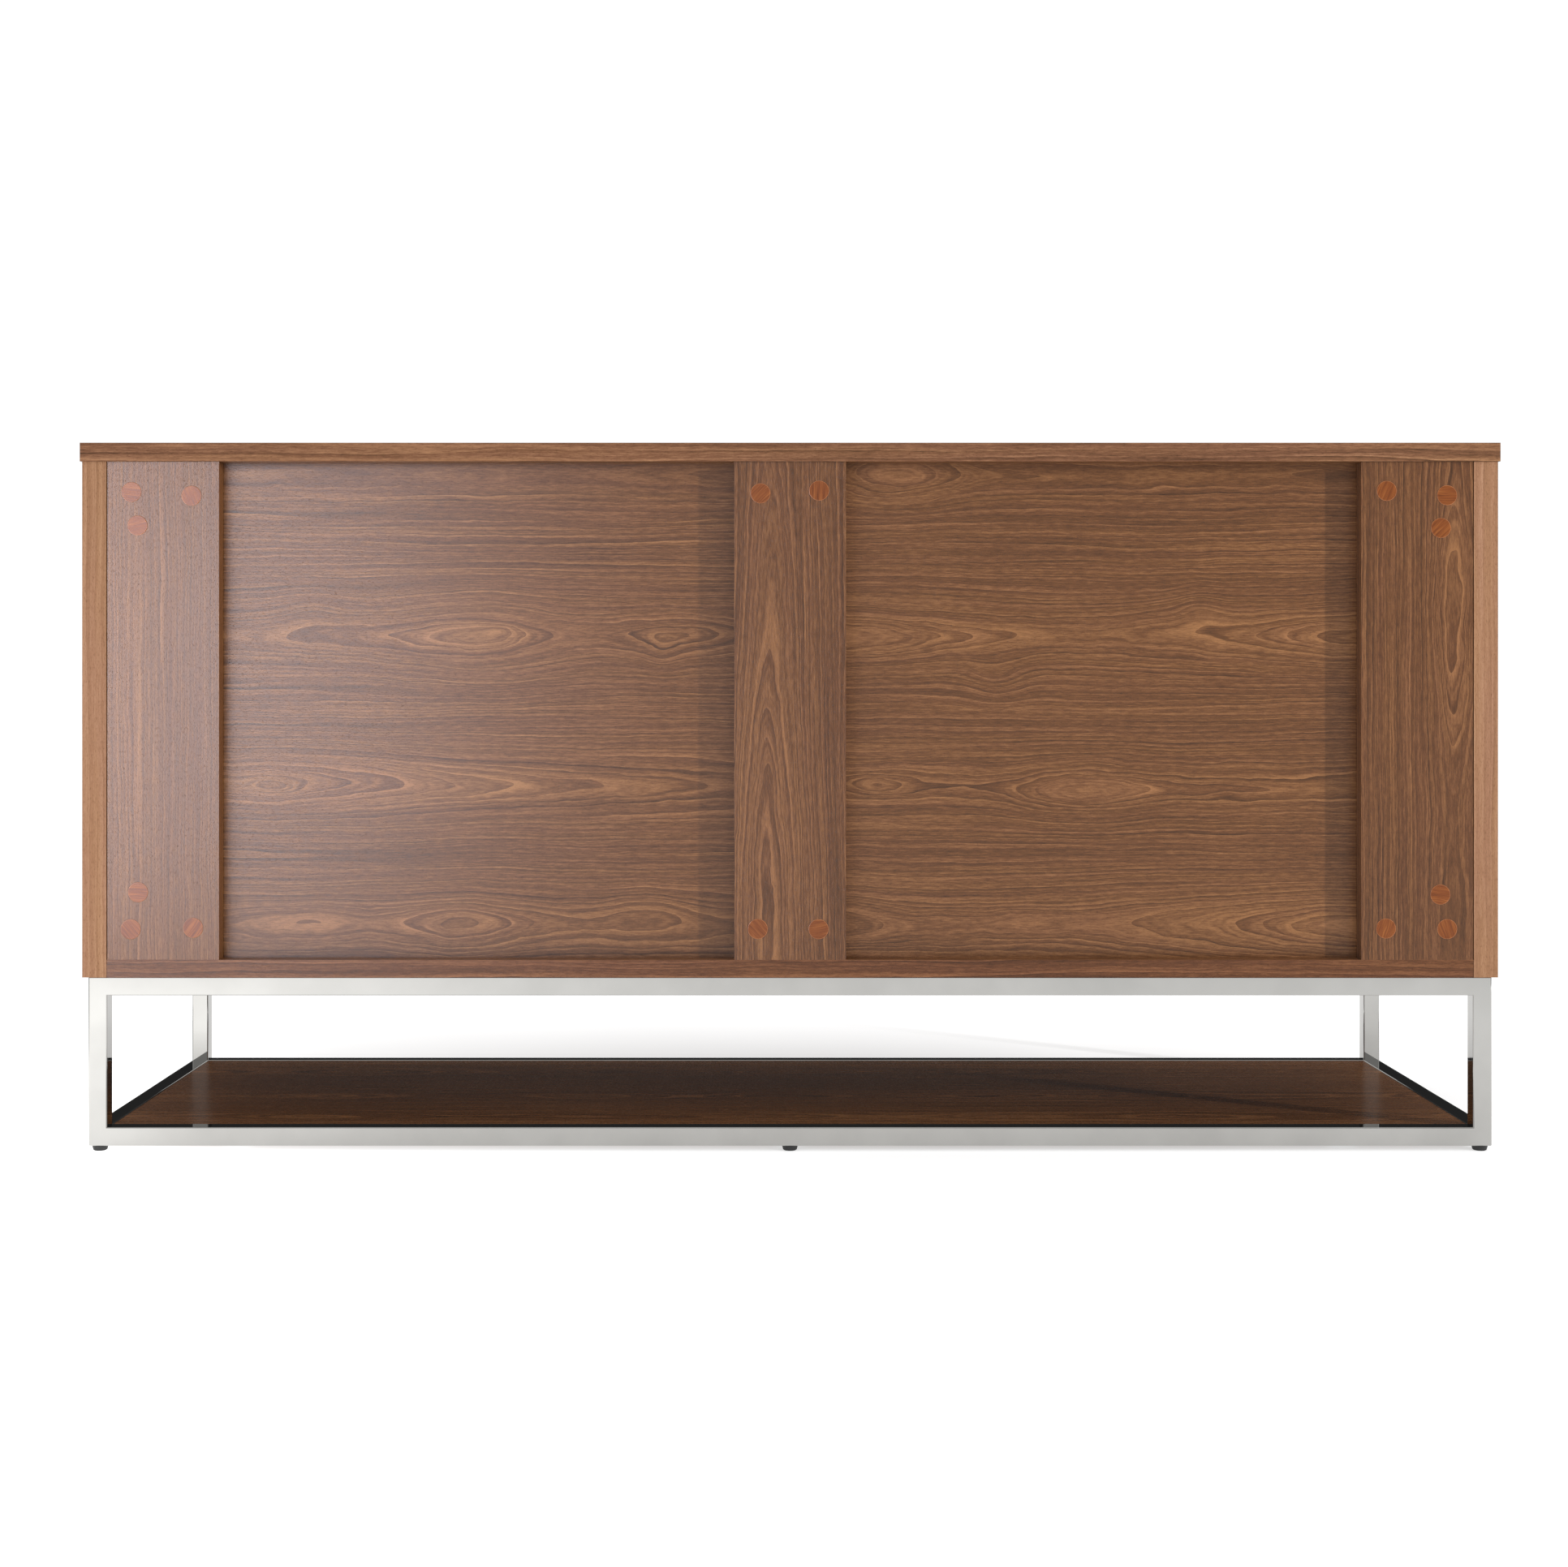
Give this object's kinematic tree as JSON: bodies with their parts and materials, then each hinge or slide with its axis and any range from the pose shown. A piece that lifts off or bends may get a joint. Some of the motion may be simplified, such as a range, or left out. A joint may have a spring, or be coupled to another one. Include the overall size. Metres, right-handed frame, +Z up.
{
  "type": "media cabinet",
  "caption": "Long walnut-veneer media cabinet with inset pivot doors, strapped and panelled back, and a low shelf set in a polished square-tube base.",
  "frame": {"origin": "centre of the footprint, at floor level", "axes": "+Z up, +X to the right seen from the doors, -Y the door side, +Y the strapped back"},
  "size_m": [1.524, 0.457, 0.762],
  "materials": {
    "walnut_carcass": "walnut veneer, satin lacquer",
    "walnut_back": "walnut veneer with cathedral figure, satin lacquer",
    "walnut_strap": "walnut veneer, vertical grain, satin lacquer",
    "walnut_door": "walnut veneer, horizontal grain, satin lacquer",
    "walnut_shelf": "walnut veneer, satin lacquer",
    "walnut_low_shelf": "dark walnut veneer, satin lacquer",
    "cover": "printed cherry wood grain",
    "polished_tube": "mirror polished",
    "zinc": "zinc plated",
    "brass": "turned",
    "beech": "fluted beech",
    "latch_plastic": "moulded",
    "plunger_plastic": "moulded",
    "glide_plastic": "moulded"
  },
  "bodies": {
    "carcass": {"top_panel": "walnut_carcass", "bottom_panel": "walnut_carcass", "left_side_panel": "walnut_carcass", "right_side_panel": "walnut_carcass", "centre_divider": "walnut_carcass", "left_back_panel": "walnut_back", "right_back_panel": "walnut_back", "left_rear_strap": "walnut_strap", "centre_rear_strap": "walnut_strap", "right_rear_strap": "walnut_strap", "left_shelf": "walnut_shelf", "right_shelf": "walnut_shelf", "low_shelf": "walnut_low_shelf", "shelf_pins": "zinc", "cam_locks": "zinc", "cam_bolts": "zinc", "dowels": "beech", "rear_cam_covers": "cover", "inner_cam_covers": "cover", "pivot_bushes": "brass", "base_inserts": "brass", "latch_housings": "latch_plastic", "latch_screws": "zinc", "latch_springs": "zinc", "base_leg_front_left": "polished_tube", "base_leg_front_right": "polished_tube", "base_leg_rear_left": "polished_tube", "base_leg_rear_right": "polished_tube", "base_rail_front_top": "polished_tube", "base_rail_front_bottom": "polished_tube", "base_rail_rear_top": "polished_tube", "base_rail_rear_bottom": "polished_tube", "base_rail_left_top": "polished_tube", "base_rail_left_bottom": "polished_tube", "base_rail_right_top": "polished_tube", "base_rail_right_bottom": "polished_tube", "low_shelf_tabs": "polished_tube", "low_shelf_screws": "zinc", "base_bolts": "zinc", "glides": "glide_plastic"},
    "outer_left_leaf": {"outer_left_door": "walnut_door", "outer_left_pivots": "zinc", "outer_left_screws": "zinc", "outer_left_strike": "zinc"},
    "outer_left_latch": {"outer_left_plunger": "plunger_plastic"},
    "inner_left_leaf": {"inner_left_door": "walnut_door", "inner_left_pivots": "zinc", "inner_left_screws": "zinc", "inner_left_strike": "zinc"},
    "inner_left_latch": {"inner_left_plunger": "plunger_plastic"},
    "inner_right_leaf": {"inner_right_door": "walnut_door", "inner_right_pivots": "zinc", "inner_right_screws": "zinc", "inner_right_strike": "zinc"},
    "inner_right_latch": {"inner_right_plunger": "plunger_plastic"},
    "outer_right_leaf": {"outer_right_door": "walnut_door", "outer_right_pivots": "zinc", "outer_right_screws": "zinc", "outer_right_strike": "zinc"},
    "outer_right_latch": {"outer_right_plunger": "plunger_plastic"}
  },
  "joints": [
    {"name": "outer_left_swing", "type": "hinge", "parent": "carcass", "child": "outer_left_leaf", "pos_m": [-0.7115, -0.217, 0.4745], "axis": [0, 0, -1], "range_deg": [0, 110]},
    {"name": "inner_left_swing", "type": "hinge", "parent": "carcass", "child": "inner_left_leaf", "pos_m": [-0.0215, -0.217, 0.4745], "axis": [0, 0, 1], "range_deg": [0, 90]},
    {"name": "inner_right_swing", "type": "hinge", "parent": "carcass", "child": "inner_right_leaf", "pos_m": [0.0215, -0.217, 0.4745], "axis": [0, 0, -1], "range_deg": [0, 90]},
    {"name": "outer_right_swing", "type": "hinge", "parent": "carcass", "child": "outer_right_leaf", "pos_m": [0.7115, -0.217, 0.4745], "axis": [0, 0, 1], "range_deg": [0, 110]},
    {"name": "outer_left_latch_press", "type": "slide", "parent": "carcass", "child": "outer_left_latch", "axis": [0, 1, 0], "range_m": [0, 0.004], "stiffness_N_per_m": 500},
    {"name": "inner_left_latch_press", "type": "slide", "parent": "carcass", "child": "inner_left_latch", "axis": [0, 1, 0], "range_m": [0, 0.004], "stiffness_N_per_m": 500},
    {"name": "inner_right_latch_press", "type": "slide", "parent": "carcass", "child": "inner_right_latch", "axis": [0, 1, 0], "range_m": [0, 0.004], "stiffness_N_per_m": 500},
    {"name": "outer_right_latch_press", "type": "slide", "parent": "carcass", "child": "outer_right_latch", "axis": [0, 1, 0], "range_m": [0, 0.004], "stiffness_N_per_m": 500}
  ]
}
